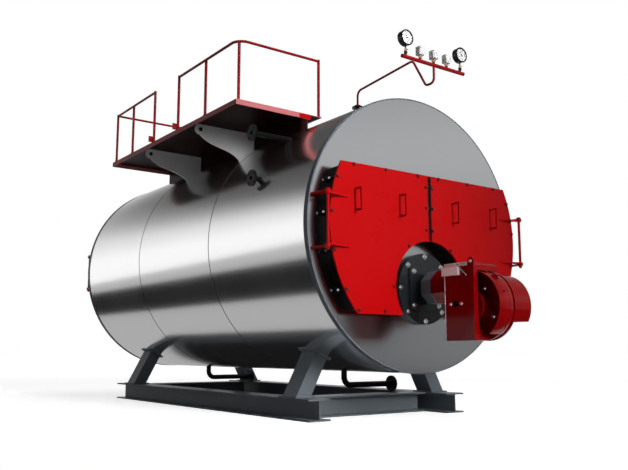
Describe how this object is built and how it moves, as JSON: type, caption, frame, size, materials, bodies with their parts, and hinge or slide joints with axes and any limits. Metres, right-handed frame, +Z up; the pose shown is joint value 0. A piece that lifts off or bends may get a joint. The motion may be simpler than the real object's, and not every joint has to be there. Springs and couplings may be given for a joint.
{
  "type": "industrial fire-tube steam boiler",
  "caption": "Horizontal steam boiler in steel cladding on a beam base, with hinged smoke-box doors, a burner, a gauge line and a railed platform.",
  "frame": {"origin": "on the ground under the middle of the shell, midway between the anchor holes", "axes": "+Z up, +Y from the burner end to the flue end, +X to the right seen from the burner"},
  "size_m": [2.544, 6.022, 3.398],
  "materials": {
    "base_paint": "satin",
    "stainless_cladding": "polished",
    "dark_iron": "satin",
    "grey_paint": "satin",
    "burner_red": "gloss",
    "door_red": "gloss",
    "rail_red": "gloss",
    "silver_box": "satin",
    "black_paint": "satin",
    "gauge_black": "satin",
    "switch_grey": "matt",
    "platform_brown": "gloss",
    "galvanised_grey": "satin",
    "boiler_steel": "matt",
    "refractory": "matt"
  },
  "bodies": {
    "boiler": {"base_left_beam": "base_paint", "base_right_beam": "base_paint", "base_cross_beams": "base_paint", "front_legs": "base_paint", "rear_legs": "base_paint", "shell_front_band": "stainless_cladding", "shell_middle_band": "stainless_cladding", "shell_rear_band": "stainless_cladding", "burner_flange": "dark_iron", "burner_collar": "grey_paint", "burner_head": "burner_red", "burner_casing": "burner_red", "burner_lid": "burner_red", "burner_control_box": "silver_box", "burner_fan": "burner_red", "burner_intake_hood": "burner_red", "water_gauge_nozzles": "black_paint", "steam_nozzle": "black_paint", "safety_valve_nozzle": "black_paint", "blowdown_pipes": "black_paint", "flue_outlet": "black_paint", "gauge_nozzle": "black_paint", "gauge_pipe": "rail_red", "gauge_header": "rail_red", "pressure_gauges": "gauge_black", "pressure_switches": "switch_grey", "platform_deck": "rail_red", "platform_support": "platform_brown", "platform_gussets": "galvanised_grey", "platform_front_rail": "rail_red", "platform_rear_rail": "rail_red", "front_edge_band": "base_paint", "front_plate": "grey_paint", "front_tube_sheet": "boiler_steel", "front_smokebox_frame": "black_paint", "front_hinges": "door_red", "rear_edge_band": "base_paint", "rear_plate": "grey_paint", "rear_tube_sheet": "boiler_steel", "rear_smokebox_frame": "black_paint", "rear_hinges": "door_red"},
    "front_left_door": {"front_left_door": "door_red", "front_left_door_lining": "refractory", "front_left_door_fittings": "door_red"},
    "front_right_door": {"front_right_door": "door_red", "front_right_door_lining": "refractory", "front_right_door_fittings": "door_red"},
    "rear_left_door": {"rear_left_door": "door_red", "rear_left_door_lining": "refractory", "rear_left_door_fittings": "door_red"},
    "rear_right_door": {"rear_right_door": "door_red", "rear_right_door_lining": "refractory", "rear_right_door_fittings": "door_red"}
  },
  "joints": [
    {"name": "front_left_door_hinge", "type": "hinge", "parent": "boiler", "child": "front_left_door", "pos_m": [-1.128, -2.596, 1.585], "axis": [0, 0, -1], "range_deg": [0, 110]},
    {"name": "front_right_door_hinge", "type": "hinge", "parent": "boiler", "child": "front_right_door", "pos_m": [1.128, -2.596, 1.585], "axis": [0, 0, 1], "range_deg": [0, 110]},
    {"name": "rear_left_door_hinge", "type": "hinge", "parent": "boiler", "child": "rear_left_door", "pos_m": [-1.128, 2.596, 1.585], "axis": [0, 0, 1], "range_deg": [0, 110]},
    {"name": "rear_right_door_hinge", "type": "hinge", "parent": "boiler", "child": "rear_right_door", "pos_m": [1.128, 2.596, 1.585], "axis": [0, 0, -1], "range_deg": [0, 110]}
  ]
}
